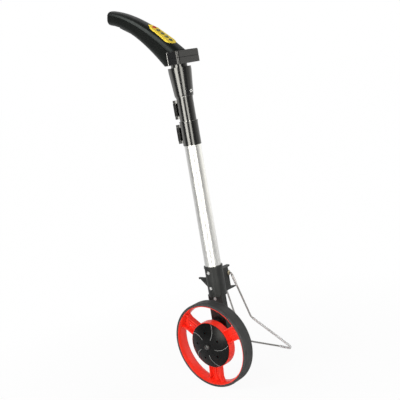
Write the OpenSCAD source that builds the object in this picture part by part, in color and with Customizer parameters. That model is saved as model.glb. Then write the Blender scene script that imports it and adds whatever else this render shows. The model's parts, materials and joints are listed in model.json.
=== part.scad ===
// Digital measuring wheel with a two-stage telescopic pole and a wire side stand.
// X is the rolling direction, Y points to the stand's side, Z runs up the pole.
// The origin is where the tyre touches the ground.

/* [Wheel] */
// rolling diameter over the tyre
wheel_d = 159.2; // [150:0.1:170]
// tread width
tread_w = 24.4; // [22:0.1:27]
// tyre thickness
tyre_t = 4.6; // [3.5:0.1:6]
// rim wall
rim_t = 3; // [2.5:0.1:4]
// spoke width
spoke_w = 25; // [20:0.5:30]
// spoke web thickness
spoke_t = 3.2; // [2.5:0.1:4]
// height of the spoke side walls
spoke_wall_h = 11; // [8:0.5:12]
// hub drum outer diameter
drum_d = 86; // [80:0.5:90]
// hub drum wall
drum_t = 2.6; // [2:0.1:3.5]
// axle diameter
axle_d = 8; // [6:0.5:10]
// how far the hub cap stands out of the drum
cap_rise = 9; // [7:0.5:12]

/* [Pole] */
// distance from wheel mid-plane to pole axis
pole_y = 35.3; // [34:0.1:37]
// outer tube diameter
tube_od = 29.8; // [29:0.1:30.6]
// tube wall
tube_wall = 1.2; // [1:0.1:1.4]
// step from the inside of one tube to the outside of the next
tube_step = 0.9; // [0.8:0.05:1.1]
// height of the socket rim above the ground
socket_top = 217.8; // [212:0.2:224]
// height of the lower clamp's foot above the ground
clamp_base = 441.6; // [430:0.2:450]
// height of one clamp collar
clamp_h = 43; // [41:0.2:45]
// clear length that each tube runs out
pole_travel = 190; // [150:1:195]
// length of a tube that stays held at full reach
pole_hold = 47; // [44:0.5:50]
// height of the plug in a tube's foot
foot_h = 10; // [8:0.5:12]
// gap between the plugs of the two inner tubes at rest
foot_gap = 3.4; // [3:0.1:5]
// running gap of the tubes in their guides, on the radius
slide_gap = 0.05; // [0.03:0.01:0.1]

/* [Clamps] */
// collar wall round the tube it closes on
collar_wall = 3.4; // [3:0.1:3.8]
// lever pin diameter
pin_d = 3; // [2.5:0.1:3.5]
// lever barrel diameter
barrel_d = 7.6; // [7:0.1:8.4]
// lever height
lever_h = 23; // [20:0.5:24]
// bulge of the lever's grip
lever_t = 6.4; // [5:0.1:7]
// turn of the lever side about the pole
clamp_turn = 26; // [10:1:40]

/* [Bracket] */
// socket wall
socket_wall = 1.8; // [1.5:0.1:2.4]
// socket length
socket_h = 56; // [50:0.5:62]
// arm thickness
arm_t = 13; // [11:0.5:14]
// arm width at the axle
arm_w = 34; // [30:0.5:38]
// hinge of the stand below the socket rim
hinge_drop = 23.6; // [20:0.2:28]
// hinge distance from the wheel mid-plane
hinge_y = 66.4; // [64:0.2:70]

/* [Stand] */
// wire diameter
wire_d = 3.5; // [3:0.1:4]
// distance of the ground bar from the wheel mid-plane
bar_y = 182; // [170:0.5:190]
// front end of the ground bar
toe_x = 39; // [34:0.5:50]
// rear end of the ground bar
heel_x = -128; // [-140:0.5:-110]
// slant of the ground bar, outwards per length
bar_slant = 0.14; // [0:0.01:0.2]
// wall of the sleeves on the wire
wire_sleeve = 0.65; // [0.5:0.05:0.9]

/* [Handle] */
// length of the sleeve under the display box
sleeve_h = 51.2; // [46:0.2:56]
// sleeve radius at its top
sleeve_top_r = 20.6; // [19.6:0.1:21.4]
// display box depth, front to back
box_l = 27.6; // [26:0.2:32]
// display box width
box_w = 59.4; // [54:0.2:64]
// display box height
box_h = 23; // [21:0.2:26]
// display box corner radius
box_r = 5; // [3:0.1:6]
// rear face of the display box from the pole axis
box_rear = -1.2; // [-3:0.1:0]
// housing wall
shell = 2.2; // [1.8:0.1:2.6]
// reach of the grip behind the pole axis
grip_reach = 139; // [130:0.5:145]
// rise of the grip's tail above the display box top
grip_rise = 80.4; // [74:0.2:86]
// grip thickness at the tail
grip_tail_t = 26; // [24:0.1:28]
// grip thickness at the front
grip_front_t = 44; // [42:0.2:47]
// grip width at the tail
grip_tail_w = 26; // [24:0.2:30]
// grip width at the front
grip_front_w = 36; // [33:0.2:39]

/* [Keys] */
// key panel length
panel_l = 64; // [60:0.5:68]
// key panel width
panel_w = 24; // [21:0.2:26]
// key panel thickness
panel_t = 3.4; // [2.8:0.1:4]
// slope of the key panel, degrees
panel_slope = 39.6; // [38:0.2:41]
// key length along the panel
key_l = 5.8; // [5:0.1:7]
// key width across the panel
key_w = 7; // [6:0.1:9]
// key height above the panel
key_h = 1.5; // [1.3:0.1:2.4]
// spacing of the keys
key_pitch = 10.8; // [10:0.1:11]
// how far the row of keys sits ahead of the panel's middle
key_shift = 0.4; // [0:0.1:1]
// key panel length from its tail to its hips
panel_hip = 12; // [10:0.2:14]
// half width of the key panel's tail
panel_tail = 3; // [2.6:0.1:3.6]
// how far the hips stand in from the full width
panel_taper = 2.4; // [1.8:0.1:3]
// radius of the posts under the key panel
post_r = 1.6; // [1.4:0.1:1.7]
// key travel
key_travel = 1; // [0.6:0.1:1.2]
// gap round a key
key_gap = 0.3; // [0.25:0.05:0.4]

/* [Hidden] */
$fn = 64;
eps = 0.01;
wheel_r = wheel_d / 2;
rim_r = wheel_r - tyre_t;
drum_r = drum_d / 2;
axle_r = axle_d / 2;
tube_r = tube_od / 2;
tube_in = tube_r - tube_wall;
mid_r = tube_in - tube_step;
mid_in = mid_r - tube_wall + 0.2;
inner_r = mid_in - tube_step;
inner_in = inner_r - tube_wall + 0.2;
hinge_z = socket_top - hinge_drop;
clamp2_base = clamp_base + clamp_h + 0.4;
sleeve_base = clamp2_base + clamp_h + 0.4;
neck_h = 5;
box_z = sleeve_base + sleeve_h + neck_h;
box_top = box_z + box_h;
box_x = box_rear + box_l / 2;
socket_r = tube_r + socket_wall;
socket_z = socket_top - socket_h;
tube_foot = socket_z + 14;
wire_r = wire_d / 2;
sleeve_r = wire_r + wire_sleeve;
black = [0.1, 0.1, 0.11];
red = [0.8, 0.1, 0.08];
silver = [0.78, 0.78, 0.8];
steel = [0.62, 0.63, 0.65];
yellow = [0.95, 0.72, 0.1];
grey = [0.3, 0.3, 0.32];
white = [0.9, 0.9, 0.88];
green = [0.12, 0.4, 0.2];

module on_axle() { translate([0, 0, wheel_r]) rotate([90, 0, 0]) children(); }
module on_pole(z = 0) { translate([0, pole_y, z]) children(); }
module slab(l, w, r) {
  square([l - 2 * r, w], center = true);
  square([l, w - 2 * r], center = true);
  for (x = [-1, 1], y = [-1, 1]) translate([x * (l / 2 - r), y * (w / 2 - r)]) circle(r);
}
module tube(r, r_in, h) {
  difference() {
    cylinder(r = r, h = h);
    translate([0, 0, -1]) cylinder(r = r_in, h = h + 2);
  }
}

// Wheel

tyre_edge = 2;
module tyre() color([0.2, 0.2, 0.21]) on_axle() rotate_extrude($fn = 128) difference() {
  translate([rim_r, -tread_w / 2]) square([tyre_t, tread_w]);
  rim_profile();
  for (s = [-1, 1]) translate([wheel_r - tyre_edge, s * (tread_w / 2 - tyre_edge)]) difference() {
    translate([0, s > 0 ? 0 : -tyre_edge - 1]) square(tyre_edge + 1);
    circle(tyre_edge);
  }
}

rim_edge = 1.2;
rim_half = tread_w / 2 - 0.4;
bead_h = 1;
bead_w = 8;
drum_near = 8.6;
drum_far = -7;
boss_r = axle_r + 8;
spoke_y = -6;
spoke_angle = 25;
flare = 4;
module spoke_outline(w) intersection() {
  polygon([[0, -w / 2], [rim_r - rim_t - 9, -w / 2], [rim_r - 1, -w / 2 - flare],
    [rim_r - 1, w / 2 + flare], [rim_r - rim_t - 9, w / 2], [0, w / 2]]);
  circle(rim_r - 1);
}
module spoke() {
  translate([0, 0, spoke_y]) linear_extrude(spoke_t) difference() {
    spoke_outline(spoke_w);
    circle(drum_r - 1);
    translate([rim_r - rim_t - 12, spoke_w / 4]) circle(d = 4);
  }
  translate([0, 0, spoke_y]) linear_extrude(spoke_wall_h) difference() {
    spoke_outline(spoke_w);
    spoke_outline(spoke_w - 4.4);
    circle(drum_r - 1);
  }
  translate([0, 0, spoke_y]) linear_extrude(spoke_wall_h / 2) difference() {
    translate([0, -spoke_w / 10]) spoke_outline(2);
    circle(drum_r - 1);
  }
}
module rim_profile() polygon([[rim_r - rim_t, rim_half - 6], [rim_r - rim_edge, rim_half],
  [rim_r, rim_half], [rim_r, bead_w / 2], [rim_r + bead_h, bead_w / 2 - 1],
  [rim_r + bead_h, 1 - bead_w / 2], [rim_r, -bead_w / 2], [rim_r, -rim_half],
  [rim_r - rim_edge, -rim_half], [rim_r - rim_t, 6 - rim_half]]);
bearing_r = axle_r + 5;
bearing_w = 6;
module wheel() color(red) on_axle() difference() {
  union() {
    rotate_extrude($fn = 128) rim_profile();
    for (a = [120, 240, 360]) rotate(a + spoke_angle) spoke();
    translate([0, 0, drum_far]) tube(drum_r, drum_r - drum_t, drum_near - drum_far);
    translate([0, 0, drum_far]) tube(drum_r - 1, axle_r + 1, 3);
    translate([0, 0, drum_far]) tube(boss_r, axle_r + 1, drum_near - drum_far - 3);
    for (a = [0 : 60 : 300]) rotate(a) translate([boss_r - 1, -1, drum_far])
      cube([drum_r - boss_r - drum_t + 2, 2, 10]);
  }
  translate([0, 0, drum_far - 1]) cylinder(r = bearing_r, h = bearing_w + 1);
  translate([0, 0, drum_near - 3 - bearing_w]) cylinder(r = bearing_r, h = bearing_w + 1);
}
module hub_bearings() color(steel) on_axle()
  for (z = [drum_far, drum_near - 3 - bearing_w]) translate([0, 0, z])
    tube(bearing_r, axle_r + slide_gap, bearing_w);

magnet_r = drum_r - drum_t - 5;
module magnet_ring() color(grey) on_axle() for (a = [0 : 60 : 300])
  rotate(a + 30) translate([magnet_r, 0, drum_far + 3]) cylinder(d = 6, h = 3);

cap_r = drum_r - drum_t - 0.1;
cap_or = drum_r - 1.2;
cap_t = 2.2;
cap_edge = 1;
dome_r = (pow(cap_or, 2) + pow(cap_rise, 2)) / (2 * cap_rise);
hole_ring = 0.6 * cap_or;
rib_h = 0.7;
module dome(grow) intersection() {
  translate([0, 0, cap_rise + cap_edge - dome_r]) sphere(dome_r + grow, $fn = 128);
  cylinder(r = cap_or, h = 3 * cap_rise);
}
rib_r = 26;
module cap_rib(a) rotate(a) translate([0.38 * cap_or, rib_r, 0]) intersection() {
  translate([0, 0, 1]) tube(rib_r + 0.45, rib_r - 0.45, 2 * cap_rise);
  translate([0, -rib_r - 1, 0]) cube([0.58 * cap_or, rib_r, 3 * cap_rise]);
}
module hub_cap() color(black) on_axle() translate([0, 0, drum_near]) {
  difference() {
    union() {
      dome(0);
      intersection() {
        dome(rib_h);
        for (a = [0 : 72 : 288]) cap_rib(a - 16);
      }
      translate([0, 0, cap_rise - 1]) cylinder(r1 = 7, r2 = 5.6, h = 6);
    }
    translate([0, 0, -eps]) intersection() {
      translate([0, 0, cap_rise + cap_edge - dome_r]) sphere(dome_r - cap_t, $fn = 128);
      cylinder(r = cap_r - 1.8, h = 2 * cap_rise);
    }
    for (a = [0 : 72 : 288]) rotate(a + 26.5) translate([hole_ring, 0, -1])
      cylinder(d = 4, h = 40, $fn = 24);
  }
  translate([0, 0, -4]) tube(cap_r, cap_r - 1.8, 5);
}

// Bracket and axle

arm_back = pole_y + 3;
arm_face = arm_back - arm_t;
boss_l = 9;
boss_face = arm_face - boss_l;
axle_gap = 0.3;
axle_near = drum_near + 1;
head_h = 4;
module axle() color(steel) on_axle() {
  translate([0, 0, -arm_back - 0.2]) cylinder(r = axle_r, h = arm_back + 0.2 + axle_near);
  translate([0, 0, -arm_back - head_h]) cylinder(r = axle_r + 2.6, h = head_h, $fn = 6);
  translate([0, 0, -boss_face]) tube(axle_r + 3, axle_r - 0.5, boss_face + drum_far - axle_gap);
}
module axle_nut() color(steel) on_axle() translate([0, 0, drum_near - 3 + axle_gap]) difference() {
  cylinder(r = axle_r + 2.6, h = 5, $fn = 6);
  translate([0, 0, -1]) cylinder(r = axle_r, h = axle_near - drum_near + 3 - axle_gap + 1);
}

module arm_outline(inset) {
  top_w = 2 * socket_r - 2 - 2 * inset;
  translate([0, wheel_r]) circle(arm_w / 2 - inset);
  polygon([[-arm_w / 2 + inset, wheel_r], [arm_w / 2 - inset, wheel_r],
    [top_w / 2, socket_z + 2], [-top_w / 2, socket_z + 2]]);
}
lug_x = 14;
lug_mid = 1;
lug_r = 5;
fin_y = hinge_y + 13;
fin_z = hinge_z + 12;
flange_y = fin_y + 6;
stop_z = hinge_z - 30;
eyelet_r = wire_r + 1;
hook_x = -33;
hook_z = hinge_z - 2;
module fork() color(black) difference() {
  union() {
    on_pole(socket_z) cylinder(r = socket_r, h = socket_h);
    on_pole(socket_top - 4) cylinder(r = socket_r + 0.6, h = 4);
    translate([0, arm_back, 0]) rotate([90, 0, 0]) linear_extrude(arm_t) arm_outline(0);
    translate([0, arm_back, wheel_r]) rotate([90, 0, 0]) cylinder(r = axle_r + 7, h = arm_t + boss_l);
    translate([lug_mid - lug_x / 2, pole_y + 10, stop_z])
      cube([lug_x, hinge_y - pole_y - 10, hinge_z - stop_z + 3]);
    translate([lug_mid - lug_x / 2, hinge_y, hinge_z]) rotate([0, 90, 0]) cylinder(r = lug_r, h = lug_x);
    translate([lug_mid - lug_x / 2, pole_y + 10, fin_z - 9.5]) cube([lug_x, hinge_y - pole_y - 10, 9.5]);
    translate([-5, pole_y + 10, fin_z - 2]) linear_extrude(2) polygon([[-2, 0], [12, 0],
      [10, fin_y - pole_y - 14], [7, fin_y - pole_y - 10], [0, fin_y - pole_y - 10]]);
    translate([-12, pole_y + 10, stop_z - 2.4]) linear_extrude(2.4) polygon([[0, 0], [16, 0],
      [16, flange_y - pole_y - 10], [6, flange_y - pole_y - 14], [0, 14]]);
    translate([hook_x, pole_y - 8, hook_z]) cube([-hook_x - 8, 4, 3]);
    translate([0, pole_y - 4, hook_z]) rotate([90, 0, 0]) linear_extrude(4)
      polygon([[hook_x + 3, 1], [-8, 1], [-8, -14], [-15, -14]]);
  }
  on_pole(tube_foot) cylinder(r = tube_r, h = socket_h);
  translate([lug_mid - lug_x, hinge_y, hinge_z]) rotate([0, 90, 0]) cylinder(r = eyelet_r, h = 2 * lug_x);
  on_axle() translate([0, 0, -arm_back - 1]) cylinder(r = axle_r, h = arm_t + boss_l + 2);
  translate([0, arm_back + 1, 0]) rotate([90, 0, 0]) linear_extrude(6) difference() {
    arm_outline(3);
    translate([0, wheel_r]) circle(axle_r + 7);
    translate([-1.2, wheel_r]) square([2.4, 100]);
    for (z = [wheel_r + 30, wheel_r + 56]) translate([-30, z]) square([60, 2.4]);
    translate([-30, socket_z - 4]) square([60, 40]);
  }
  for (z = screw_z) translate([0, z > socket_z ? pole_y - socket_r : arm_face, z]) rotate([-90, 0, 0]) {
    translate([0, 0, -2]) cylinder(r = 3.2, h = 3);
    cylinder(r = 1.6, h = 8);
  }
}
screw_z = [socket_top - 10.4, socket_z + 16.6, socket_z - 5];
module socket_screws() color(steel) for (z = screw_z)
  translate([0, z > socket_z ? pole_y - socket_r : arm_face, z]) rotate([-90, 0, 0]) difference() {
    union() {
      translate([0, 0, -0.6]) cylinder(r = 3.1, h = 1.6);
      cylinder(r = 1.5, h = socket_wall - 0.1);
    }
    for (a = [0, 90]) rotate(a) translate([-2, -0.4, -1]) cube([4, 0.8, 1.2]);
  }
pod_l = 14;
pod_w = 10;
module sensor_pod() color(black) on_axle() translate([0, magnet_r, -arm_face])
  linear_extrude(arm_face + drum_far - 1.5) slab(pod_w, pod_l, 2);
module outer_tube() color(silver) on_pole(tube_foot) tube(tube_r, tube_in, clamp_base - tube_foot);

module stand_eyelets() color([0.8, 0.66, 0.4]) for (s = [0, 1])
  translate([lug_mid, hinge_y, hinge_z]) rotate([0, s * 180 + 90, 0]) difference() {
    union() {
      translate([0, 0, 1]) cylinder(r = eyelet_r, h = lug_x / 2 - 1);
      translate([0, 0, lug_x / 2]) cylinder(r = eyelet_r + 1.4, h = 0.8);
    }
    translate([0, 0, -1]) cylinder(r = wire_r + slide_gap, h = lug_x);
  }

// Side stand

leg_front = lug_mid + lug_x / 2 + 5.5;
leg_rear = lug_mid - lug_x / 2 - 5.5;
pin_end = 1.5;
poly_r = wire_r * 1.06;
toe_z = sleeve_r;
toe_bend = toe_x - 30;
function bar_at(x) = bar_y + (toe_x - x) * bar_slant;
knee_z = 0.43 * hinge_z;
knee_y = hinge_y + 0.575 * (bar_y - hinge_y);
knee_front = [-10, knee_y, knee_z];
knee_rear = [-49, knee_y, knee_z];
wire_sides = 10;
arc_n = 5;
stand_n = let (d = [0, bar_y - hinge_y, -hinge_z]) cross([1, 0, 0], d / norm(d));
function unit(v) = v / norm(v);
function fillet(a, b, c, r) = let (u = unit(a - b), v = unit(c - b), h = acos(u * v) / 2, l = r / tan(h),
    o = b + unit(u + v) * r / sin(h))
  [for (i = [0 : arc_n]) let (f = (i / arc_n - 0.5) * (180 - 2 * h), w = unit(cross(cross(u, v), u + v)))
    o - unit(u + v) * r * cos(f) + (w * (v - u) > 0 ? w : -w) * r * sin(f)];
corners = [[lug_mid + lug_x / 2 + 1, hinge_y, hinge_z], [leg_front, hinge_y, hinge_z], knee_front,
  [toe_x + 6, bar_y, toe_z], [toe_bend, bar_at(toe_bend), toe_z + 1], [-60, bar_at(-60), poly_r],
  [heel_x, bar_at(heel_x), poly_r], knee_rear, [leg_rear, hinge_y, hinge_z],
  [lug_mid - lug_x / 2 - 1, hinge_y, hinge_z]];
turn_r = [0, 3, 14, 9, 12, 60, 9, 14, 3, 0];
route = concat([corners[0]], [for (i = [1 : len(corners) - 2])
  each fillet(corners[i - 1], corners[i], corners[i + 1], turn_r[i])], [corners[len(corners) - 1]]);
function ring(pts, i, r) = let (d = unit(pts[min(i + 1, len(pts) - 1)] - pts[max(i - 1, 0)]),
    s = cross(d, stand_n))
  [for (k = [0 : wire_sides - 1]) let (a = 360 * (k + 0.5) / wire_sides)
    pts[i] + r * (cos(a) * stand_n + sin(a) * s)];
function side_faces(n, m, at, flip) = [for (j = [0 : m - 2], i = [0 : n - 1]) let (k = (i + 1) % n,
    q = [at + j * n + i, at + j * n + k, at + (j + 1) * n + k, at + (j + 1) * n + i])
  each flip ? [[q[0], q[1], q[2]], [q[0], q[2], q[3]]] : [[q[2], q[1], q[0]], [q[3], q[2], q[0]]]];
module wire(pts, r) {
  n = wire_sides;
  m = len(pts);
  e = (m - 1) * n;
  polyhedron([for (i = [0 : m - 1]) each ring(pts, i, r)], concat([for (i = [1 : n - 2]) [0, i, i + 1]],
    [for (i = [1 : n - 2]) [e, e + i + 1, e + i]], side_faces(n, m, 0, false)));
}
module wire_cover(pts, r, r_in) {
  n = wire_sides;
  m = len(pts);
  polyhedron(concat([for (i = [0 : m - 1]) each ring(pts, i, r)],
      [for (i = [0 : m - 1]) each ring(pts, i, r_in)]),
    concat(side_faces(n, m, 0, false), side_faces(n, m, n * m, true),
      [for (i = [0 : n - 1]) let (k = (i + 1) % n) each [[i, k, n * m + i], [n * m + i, k, n * m + k]]],
      [for (i = [0 : n - 1]) let (k = (i + 1) % n, e = (m - 1) * n)
        each [[e + k, e + i, n * m + e + k], [n * m + e + k, e + i, n * m + e + i]]]));
}
module stand_wire() color(steel) {
  wire(route, poly_r);
  for (s = [-1, 1]) translate([lug_mid + s * pin_end, hinge_y, hinge_z]) rotate([0, s * 90, 0])
    cylinder(r = wire_r, h = lug_x / 2 + 1.3 - pin_end);
}
function span(from, to) = [for (i = [from : to]) route[i]];
cover_in = poly_r + 0.05;
leg_a = route[arc_n + 1];
leg_b = route[arc_n + 2];
module leg_sleeve() color(white)
  wire_cover([leg_a + (leg_b - leg_a) * 0.02, leg_a + (leg_b - leg_a) * 0.24], sleeve_r + 0.2, cover_in);
module toe_sleeve() color(grey) wire_cover(span(2 * arc_n + 2, 4 * arc_n + 3), sleeve_r, cover_in);

// Telescopic pole and clamps

module clamp(z, r, bore, spigot_r) {
  ear = r + barrel_d / 2 + lever_gap;
  gap = (clamp_h - lever_h) / 2;
  on_pole(z) rotate(clamp_turn) difference() {
    union() {
      cylinder(r = r, h = clamp_h);
      translate([0, 0, clamp_h - 2]) cylinder(r = r + 0.5, h = 2);
      translate([0, 0, -14]) cylinder(r = spigot_r, h = 14 + eps);
      for (k = [gap - 5.3, clamp_h - gap + 0.3]) translate([-ear, 0, k]) {
        cylinder(r = barrel_d / 2 - 0.4, h = 5);
        translate([0, -barrel_d / 2 + 0.4, 0]) cube([ear - r + 3, barrel_d - 0.8, 5]);
      }
    }
    translate([0, 0, -20]) cylinder(r = bore, h = clamp_h + 30);
    rotate(20) translate([-r - 4, 0, 6]) cube([r, 1.4, clamp_h]);
    translate([-ear, 0, -1]) cylinder(r = pin_d / 2, h = clamp_h + 2);
  }
}
lever_gap = 0.7;
lever_arc = 78;
module lever(z, r) {
  ear = r + barrel_d / 2 + lever_gap;
  gap = (clamp_h - lever_h) / 2;
  on_pole(z + gap) rotate(clamp_turn) difference() {
    union() {
      translate([-ear, 0, 0]) cylinder(r = barrel_d / 2, h = lever_h);
      rotate(180 - lever_arc) rotate_extrude(angle = lever_arc) translate([r + lever_gap, 0])
          polygon(concat([[0, lever_h - 1], [0, 1]],
        [for (i = [0 : 8]) let (f = i * 22.5) [1.6 + (lever_t - 1.6) * sin(f),
            lever_h / 2 * (1 - cos(f))]]));
    }
    translate([-ear, 0, -1]) cylinder(r = pin_d / 2 + slide_gap, h = lever_h + 2);
  }
}
module lever_pin(z, r) {
  ear = r + barrel_d / 2 + lever_gap;
  gap = (clamp_h - lever_h) / 2;
  on_pole(z + gap - 5.3) rotate(clamp_turn) translate([-ear, 0, 0])
    cylinder(r = pin_d / 2, h = lever_h + 10.6);
}
lower_r = max(mid_r + slide_gap + collar_wall, tube_r);
upper_r = inner_r + slide_gap + collar_wall + 0.4;
module clamp_lower() color(black) clamp(clamp_base, lower_r, mid_r + slide_gap, tube_in);
module lever_lower() color(black) lever(clamp_base, lower_r);
module pin_lower() color(steel) lever_pin(clamp_base, lower_r);
mid_foot_z = clamp_base - pole_travel - pole_hold;
module middle_tube() color(silver) on_pole(mid_foot_z + 3)
  tube(mid_r, mid_in, clamp2_base - mid_foot_z - 3);
module middle_foot() color(black) on_pole(mid_foot_z) difference() {
  union() {
    cylinder(r = tube_in - slide_gap, h = 3);
    cylinder(r = mid_in, h = foot_h);
  }
  translate([0, 0, -1]) cylinder(r = mid_in - 2, h = 20);
}
module clamp_upper() color(black) clamp(clamp2_base, upper_r, inner_r + slide_gap, mid_in);
module lever_upper() color(black) lever(clamp2_base, upper_r);
module pin_upper() color(steel) lever_pin(clamp2_base, upper_r);
inner_foot_z = mid_foot_z + foot_h + foot_gap;
inner_end = sleeve_base + 40;
module inner_tube() color(silver) on_pole(inner_foot_z + 3)
  tube(inner_r, inner_in, inner_end - inner_foot_z - 3);
module inner_foot() color(black) on_pole(inner_foot_z) difference() {
  union() {
    cylinder(r = mid_in - slide_gap, h = 3);
    cylinder(r = inner_in, h = foot_h);
  }
  translate([0, 0, -1]) cylinder(r = inner_in - 2, h = 20);
}

// Handle

sleeve_lip = 1.8;
sleeve_r0 = upper_r + sleeve_lip;
neck_r = sleeve_top_r - 6;
screw_up = 8;
module handle_sleeve() color(black) on_pole(sleeve_base) difference() {
  union() {
    rotate_extrude() polygon([[inner_r, 0], [sleeve_r0, 0], [sleeve_r0 + 0.4, 3],
      [sleeve_top_r, sleeve_h - 7], [sleeve_top_r, sleeve_h], [neck_r, sleeve_h],
      [neck_r, sleeve_h + neck_h], [inner_r + 0.4, sleeve_h + neck_h],
      [inner_r + 0.4, sleeve_h - 24], [inner_r, sleeve_h - 24]]);
    translate([sleeve_r0 - 2.4, 0, screw_up]) rotate([0, 90, 0]) cylinder(r = 4.2, h = 3.4);
  }
  translate([inner_r - 1, 0, screw_up]) rotate([0, 90, 0]) cylinder(r = 1.6, h = 20);
  translate([sleeve_r0 + 0.2, 0, screw_up]) rotate([0, 90, 0]) cylinder(r = 3.1, h = 20);
  rotate(-34) translate([sleeve_r0 - 1, 0, screw_up + 4]) rotate([0, 90, 0])
    cylinder(r = 1.1, h = 6, $fn = 24);
}
module sleeve_screw() color(white) on_pole(sleeve_base)
  translate([sleeve_r0 + 0.2, 0, screw_up]) rotate([0, 90, 0]) difference() {
    union() {
      cylinder(r = 3, h = 1.6);
      translate([0, 0, inner_r - sleeve_r0 - 0.1]) cylinder(r = 1.5, h = sleeve_r0 - inner_r + 0.2);
    }
    for (a = [0, 90]) rotate(a) translate([-2, -0.4, 0.9]) cube([4, 0.8, 1.2]);
  }

seam = box_h / 2;
module box_part(h, inset) linear_extrude(h)
  slab(box_l - 2 * inset, box_w - 2 * inset, max(box_r - inset, 0.6));
module display_base() color(black) translate([box_x, pole_y, box_z]) difference() {
  union() {
    box_part(seam - 0.5, 0);
    box_part(seam, 0.5);
  }
  translate([0, 0, shell]) difference() {
    box_part(seam, shell);
    for (y = [-1, 1]) translate([0, y * (box_w / 2 - shell - 4), -1])
      cylinder(r = 3, h = seam - shell - 3 + 1);
  }
}
board_z = box_z + seam - 3;
module main_board() color(green) translate([box_x, pole_y, board_z]) box_part(1.6, shell + 0.3);
window_l = 10.4;
window_w = 44;
window_x = box_x + box_l / 2 - 2.4 - window_l / 2;
module display_top() color(black) translate([box_x, pole_y, box_z + seam]) difference() {
  union() {
    box_part(seam - 1.2, 0);
    translate([0, 0, seam - 1.2]) box_part(1.2, 0.8);
  }
  translate([0, 0, -1]) box_part(seam - shell + 1, shell);
  translate([window_x - box_x, 0, 0]) linear_extrude(seam + 1) slab(window_l - 3, window_w - 3, 1.5);
  translate([window_x - box_x, 0, seam - 1.2]) linear_extrude(seam) slab(window_l, window_w, 2);
}
module display_window() color([0.7, 0.75, 0.78]) translate([window_x, pole_y, box_top - 1.2])
  linear_extrude(1.1) slab(window_l - 0.1, window_w - 0.1, 1.95);
module display_glass() color([0.55, 0.6, 0.5]) translate([window_x, pole_y, board_z + 1.6])
  linear_extrude(box_top - shell - board_z - 1.6) slab(window_l - 1, window_w - 1, 1);

// Grip, swept along a curve in the plane of the pole

tail = [-grip_reach, box_top + grip_rise];
bend = [-0.58 * grip_reach, box_top + grip_rise - 14.2];
front = [-12.5, box_top - 5.2];
function curve(t) = pow(1 - t, 2) * tail + 2 * t * (1 - t) * bend + t * t * front;
function along(t) = let (d = 2 * (1 - t) * (bend - tail) + 2 * t * (front - bend)) d / norm(d);
function half_t(t) = (grip_tail_t + (grip_front_t - grip_tail_t) * pow(t, 1.9)) / 2;
function half_w(t) = (grip_tail_w + (grip_front_w - grip_tail_w) * t) / 2;
cap_l = 7;
seam_a = 20;
seam_lip = 0.6;
seam_gap = 2;
squarish = 0.72;
function soft(v) = sign(v) * pow(abs(v), squarish);
sides = 14;
rings = 14;
caps = 5;
function section(c, d, w, h, wall, from, turn) = let (wi = max(w - wall, w * 0.3),
    hi = max(h - wall, h * 0.3))
  concat([for (i = [0 : sides]) let (a = from + turn * i / sides)
      [c[0] - d[1] * h * soft(sin(a)), w * soft(cos(a)), c[1] + d[0] * h * soft(sin(a))]],
    [for (i = [0 : sides]) let (a = from + turn - turn * i / sides)
      [c[0] - d[1] * hi * soft(sin(a)), wi * soft(cos(a)), c[1] + d[0] * hi * soft(sin(a))]]);
function shell_rings(from, turn, wall, lip = 0) = concat(
  [for (k = [caps : -1 : 1]) let (f = 82 * k / caps, d = along(0), s = pow(cos(f), 0.6))
    section(curve(0) - d * cap_l * sin(f), d, (half_w(0) + lip) * s, half_t(0) * s, wall, from, turn)],
  [for (i = [0 : rings]) let (t = 1.06 * i / rings)
    section(curve(t), along(t), half_w(t) + lip, half_t(t), wall, from, turn)]);
module swept(rows) {
  n = len(rows[0]);
  m = len(rows);
  e = (m - 1) * n;
  polyhedron([for (r = rows) each r], concat(side_faces(n, m, 0, false),
    [for (i = [0 : n / 2 - 2]) let (a = n - 1 - i) each [[a, i, i + 1], [a, i + 1, a - 1]]],
    [for (i = [0 : n / 2 - 2]) let (a = n - 1 - i)
      each [[e + i + 1, e + i, e + a], [e + a - 1, e + i + 1, e + a]]]));
}
panel_at = [-50.7, box_top + 55.2];
module on_panel() translate([panel_at[0], pole_y, panel_at[1]]) rotate([0, panel_slope, 0]) children();
module panel_outline(gap) translate([panel_l / 2, 0]) {
  translate([panel_l / 2 - panel_w / 2, 0]) circle(panel_w / 2 + gap);
  polygon([[-panel_l / 2 - gap, panel_tail + gap / 2], [-panel_l / 2 - gap, -panel_tail - gap / 2],
    [-panel_l / 2 + panel_hip, -panel_w / 2 + panel_taper - gap],
    [panel_l / 2 - panel_w / 2, -panel_w / 2 - gap], [panel_l / 2 - panel_w / 2, panel_w / 2 + gap],
    [-panel_l / 2 + panel_hip, panel_w / 2 - panel_taper + gap]]);
}
module head_room() {
  translate([box_rear - 0.05, pole_y - 60, box_z - 60]) cube([80, 120, box_h + 60]);
  translate([-80, pole_y - 60, box_z - 80]) cube([160, 120, 80]);
}
well_w = key_w + 5;
door_t = 0.36;
door_l = 40;
door_w = 16;
door_th = 2;
door_d = along(door_t);
door_slope = atan2(-door_d[1], door_d[0]);
door_c = curve(door_t) - half_t(door_t) * [-door_d[1], door_d[0]];
module on_door() translate([door_c[0], pole_y, door_c[1]]) rotate([0, door_slope, 0]) children();
module grip_upper() color(black) difference() {
  translate([0, pole_y, 0]) swept(shell_rings(seam_a, 180 - 2 * seam_a, shell, seam_lip));
  head_room();
  on_panel() translate([0, 0, -panel_t]) linear_extrude(20) panel_outline(0.05);
  on_panel() translate([panel_l / 2, 0, -panel_t - 14]) linear_extrude(20) slab(panel_l - 4, well_w, 3);
}
module grip_lower() color(black) difference() {
  translate([0, pole_y, 0]) swept(shell_rings(180 + seam_gap - seam_a, 180 + 2 * (seam_a - seam_gap), shell));
  head_room();
  on_door() translate([0, 0, -8]) linear_extrude(20) slab(door_l, door_w, 2);
}
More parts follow.
